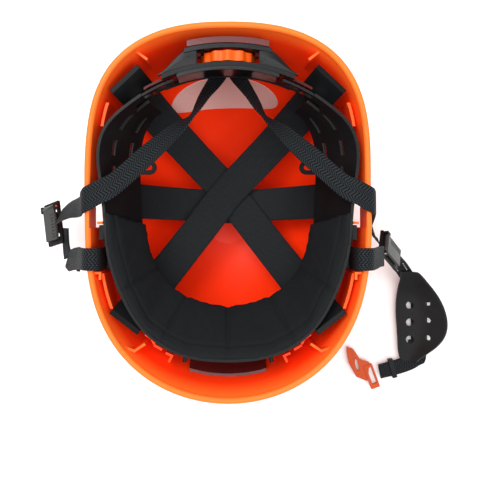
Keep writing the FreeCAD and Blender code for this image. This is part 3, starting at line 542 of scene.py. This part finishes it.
def add_lower_straps(finishes, thread):
    web, rows = strap("lower_strap_left", LOWER_WEB, WEB_THICKNESS, finishes["webbing"])
    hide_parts("lower_web_left")
    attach(web, "left_straps")
    chin, rows = strap("chin_webbing", CHIN_STRAP, WEB_THICKNESS, finishes["webbing"], 0.15)
    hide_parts("chin_strap")
    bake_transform(chin)
    for share in (-0.55, 0.55):
        side = "inner" if share < 0 else "outer"
        row = stitches(f"chin_stitches_{side}", rows, share, (0.09, 0.19), thread)
        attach(row, "chin_strap")


def crown_stations(middle, first_clip, second_clip, heights):
    """Stations of a crown strap from one clip over the crossing to the opposite clip."""
    arms = []
    for clip, order in ((first_clip, -1), (second_clip, 1)):
        away = Vector((clip.x - middle.x, clip.y - middle.y, 0))
        across = Vector((-away.y, away.x, 0)) * order
        arms.append([((middle.x + away.x * share, middle.y + away.y * share, z), across, CROWN_WIDTH)
                     for share, z in heights])
    first, second = arms
    turn = first[0][1].normalized() + second[0][1].normalized()
    return list(reversed(first)) + [(middle, turn, CROWN_WIDTH)] + second


def mirrored_point(point):
    return Vector((-point.x, point.y, point.z))


def add_crown_straps(finishes, dark_thread):
    raised = [(share, z + (STRAP_STACK if z < 50 else 0)) for share, z in ARM_HEIGHTS]
    upper = CROSSING + Vector((0, 0, STRAP_STACK))
    straps = [
        ("crown_strap_side",
         crown_stations(SIDE_CROSSING, SIDE_CLIP, mirrored_point(SIDE_CLIP), SIDE_HEIGHTS)),
        ("crown_strap_a", crown_stations(CROSSING, REAR_CLIP, mirrored_point(FRONT_CLIP), ARM_HEIGHTS)),
        ("crown_strap_b", crown_stations(upper, mirrored_point(REAR_CLIP), FRONT_CLIP, raised))]
    for node, stations in straps:
        piece, rows = strap(node.replace("crown", "cradle"), stations, CROWN_THICKNESS,
                            finishes["wide_webbing"], 0.2)
        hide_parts(node)
        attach(piece, "helmet")
        for end, reach in (("start", (0.03, 0.12)), ("end", (0.88, 0.97))):
            for share in (-0.7, 0.7):
                edge = "low" if share < 0 else "high"
                row = stitches(f"{piece.name}_{end}_{edge}", rows, share, reach, dark_thread, lift=0.85)
                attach(row, "helmet")


# ---------------------------------------------------------------- sweatband

# plan points of the pad's outer face at the top and bottom of the headband, left side to the front
PAD_TOP = [(-94.5, 0), (-91.5, -30), (-81.5, -62), (-64, -90), (-36, -108), (0, -113)]
PAD_LOW = [(-72.5, -10), (-69, -30), (-60, -50), (-46, -66), (-24, -77), (0, -81)]
BAND_Z = (105.0, 148.0)


def pad_plan(share):
    """A smooth plan curve round the front, at a share of the headband's height."""
    left = [Vector(low).lerp(Vector(top), share) for top, low in zip(PAD_TOP, PAD_LOW)]
    full = left + [Vector((-p.x, p.y)) for p in reversed(left[:-1])]
    stations = [((p.x, p.y, 0), (0, 0, 1), 1) for p in full]
    return [row[0] for row in smoothed(stations)]


def pad_mesh():
    """The pad before it swells: a wall inside the headband with a lip over the headband's top edge."""
    section = [(-3.2, PAD_LOW_Z), (-3.2, 115), (-3.2, 125), (-3.2, 136), (-3.2, 146), (-0.4, 149.0),
               (-0.6, PAD_TOP_Z - 0.5), (-3.4, PAD_TOP_Z), (-6.0, PAD_TOP_Z - 0.8), (-6.2, 144), (-6.2, 134),
               (-6.2, 124), (-6.2, 114), (-5.8, PAD_LOW_Z)]
    bm = bmesh.new()
    rings = []
    for offset, z in section:
        share = (z - BAND_Z[0]) / (BAND_Z[1] - BAND_Z[0])
        plan = pad_plan(share)
        ring = []
        for i, p in enumerate(plan):
            tangent = (plan[min(i + 1, len(plan) - 1)] - plan[max(i - 1, 0)]).normalized()
            out = Vector((tangent.y, -tangent.x, 0))
            ring.append(bm.verts.new(Vector((p.x, p.y, z)) * MM + out * (offset * MM)))
        rings.append(ring)
    for near, far in zip(rings, rings[1:] + rings[:1]):
        for i in range(len(near) - 1):
            bm.faces.new((near[i], near[i + 1], far[i + 1], far[i]))
    bm.faces.new([ring[0] for ring in rings])
    bm.faces.new([ring[-1] for ring in reversed(rings)])
    return mesh_from(bm, "sweatband_pad")


def apply_modifiers(piece):
    graph = bpy.context.evaluated_depsgraph_get()
    mesh = bpy.data.meshes.new_from_object(piece.evaluated_get(graph))
    piece.modifiers.clear()
    piece.data = mesh


def swell(piece, pressure, cap_in, cap_out):
    """Lets the pad's cover swell, and keeps each point within a cap: small on the headband's side."""
    rest = [v.co.copy() for v in piece.data.vertices]
    cloth = piece.modifiers.new("swell", "CLOTH")
    cloth.settings.use_pressure = True
    cloth.settings.uniform_pressure_force = pressure
    cloth.settings.effector_weights.gravity = 0
    cloth.settings.tension_stiffness = 12
    cloth.settings.compression_stiffness = 12
    cloth.settings.bending_stiffness = 0.5
    cloth.point_cache.frame_end = SWELL_FRAMES
    for step in range(1, SWELL_FRAMES + 1):
        bpy.context.scene.frame_set(step)
    apply_modifiers(piece)
    bpy.context.scene.frame_set(1)
    for vertex, start in zip(piece.data.vertices, rest):
        outward = Vector((start.x, start.y - PAD_CENTRE_Y * MM, 0)).normalized()
        move = vertex.co - start
        cap = cap_out if move.dot(outward) > 0 else cap_in
        if move.length > cap:
            move *= cap / move.length
        vertex.co = start + move


def sew_channels(piece):
    """Presses the seams between the sweatband's panels and the stitched line under its top edge."""
    normals = [v.normal.copy() for v in piece.data.vertices]
    for vertex, normal in zip(piece.data.vertices, normals):
        spot = vertex.co / MM
        outward = Vector((spot.x, spot.y - PAD_CENTRE_Y, 0))
        radius = outward.length
        outward.normalize()
        angle = math.atan2(outward.x, -outward.y)
        inner = max(0.0, -normal.dot(outward))
        top = max(0.0, normal.z)
        depth = 0.0
        for seam in PAD_SEAMS:
            away = (angle - math.radians(seam)) * radius
            depth += SEAM_DEPTH * math.exp(-(away / SEAM_WIDTH) ** 2)
        hem = HEM_DEPTH * math.exp(-((spot.z - HEM_Z) / HEM_WIDTH) ** 2)
        vertex.co += (outward * inner * (depth + hem) - Vector((0, 0, top * depth * 0.7))) * MM


def add_sweatband(finishes):
    pad = add_object("sweatband_pad", pad_mesh())
    remesh = pad.modifiers.new("even", "REMESH")
    remesh.mode = "VOXEL"
    remesh.voxel_size = 0.0019
    apply_modifiers(pad)
    swell(pad, 4.0, 0.0020, 0.0004)
    even = pad.modifiers.new("soften", "SMOOTH")
    even.factor = 0.5
    even.iterations = 8
    smooth = pad.modifiers.new("fine", "SUBSURF")
    smooth.levels = 1
    apply_modifiers(pad)
    sew_channels(pad)
    cloth = pad.data.uv_layers.new(name="cloth")
    for loop in pad.data.loops:
        spot = pad.data.vertices[loop.vertex_index].co
        angle = math.atan2(spot.x, -(spot.y - PAD_CENTRE_Y * MM))
        cloth.data[loop.index].uv = (angle * 0.09, spot.z + spot.xy.length * 0.6)
    for face in pad.data.polygons:
        face.use_smooth = True
    pad.data.materials.clear()
    pad.data.materials.append(finishes["padding"])
    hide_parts("sweatband")
    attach(pad, "helmet")


# ---------------------------------------------------------------- nape cheeks

WING_CENTRE_Y = -16.0        # the nape band's arc
WING_INNER_RADIUS = 129.5
WING_DEPTH = 12.6            # front to back beside the knob
WING_TIP_DEPTH = 1.2
WING_STEPS = 18
WING_X = (23.5, 53.0)
WING_TAPER_X = 30.0          # from here the wing narrows to its tip
WING_Z = (145.4, 148.9)


def add_wing(side, finish):
    """A tapered cheek that closes the gap between the knob's cover and the nape band."""
    sign = -1 if side == "left" else 1
    bm = bmesh.new()
    rows = []
    for i in range(WING_STEPS + 1):
        x = WING_X[0] + (WING_X[1] - WING_X[0]) * i / WING_STEPS
        near = WING_CENTRE_Y + math.sqrt(WING_INNER_RADIUS ** 2 - x ** 2)
        share = min(max((WING_X[1] - x) / (WING_X[1] - WING_TAPER_X), 0.0), 1.0)
        depth = WING_TIP_DEPTH + (WING_DEPTH - WING_TIP_DEPTH) * share * share * (3 - 2 * share)
        crown = 0.7 * math.sin(math.pi * i / WING_STEPS)
        ring = [(near, WING_Z[0]), (near + depth, WING_Z[0]), (near + depth, WING_Z[1] - 0.4),
                (near + depth * 0.5, WING_Z[1] + crown - 0.6), (near, WING_Z[1] - 0.4)]
        rows.append([bm.verts.new(Vector((sign * x, y, z)) * MM) for y, z in ring])
    for near_ring, far_ring in zip(rows, rows[1:]):
        for k in range(5):
            bm.faces.new((near_ring[k], near_ring[(k + 1) % 5], far_ring[(k + 1) % 5], far_ring[k]))
    bm.faces.new(rows[0])
    bm.faces.new(list(reversed(rows[-1])))
    name = f"nape_cheek_{side}"
    wing = add_object(name, mesh_from(bm, name), finish)
    bevel = wing.modifiers.new("soft_edges", "BEVEL")
    bevel.width = 0.5 * MM
    bevel.segments = 3
    bevel.limit_method = "ANGLE"
    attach(wing, "nape_cradle")


# ---------------------------------------------------------------- carried-over CAD nodes

BEVELLED = {
    "hanger_rear_left": 0.5, "hanger_rear_right": 0.5, "hanger_front_left": 0.5, "hanger_front_right": 0.5,
    "hanger_side_left": 0.5, "hanger_side_right": 0.5, "side_anchor_left": 0.5, "side_anchor_right": 0.5,
    "rear_strap_anchor": 0.4, "divider_base_left": 0.4, "divider_base_right": 0.4, "divider_cam_left": 0.3,
    "divider_cam_right": 0.3, "hook_buckle": 0.6, "strap_keeper": 0.3, "buckle_receiver": 0.4,
    "rear_guard": 0.35, "ratchet_cover": 0.3, "ratchet_housing": 0.15, "nape_band": 0.2}


def dress_nodes(finishes):
    slots = {s["node"]: s["material_slot"] for s in frame["record"]["subparts"]}
    for name, node in nodes.items():
        for slot in node.material_slots:
            slot.material = finishes[slots[name]]
        if name in BEVELLED:
            weld = node.modifiers.new("join", "WELD")
            weld.merge_threshold = 0.00001
            bevel = node.modifiers.new("soft_edges", "BEVEL")
            bevel.width = BEVELLED[name] * MM
            bevel.segments = 2
            bevel.limit_method = "ANGLE"
            bevel.angle_limit = math.radians(40)
            bevel.harden_normals = True


add_camera()
add_surroundings()
all_finishes = make_finishes()
dress_nodes(all_finishes)
white_thread = thread_finish()
add_legs(all_finishes)
add_lower_straps(all_finishes, white_thread)
add_crown_straps(all_finishes, all_finishes["webbing"])
add_sweatband(all_finishes)
for cheek in ("left", "right"):
    add_wing(cheek, all_finishes["glossy_black"])
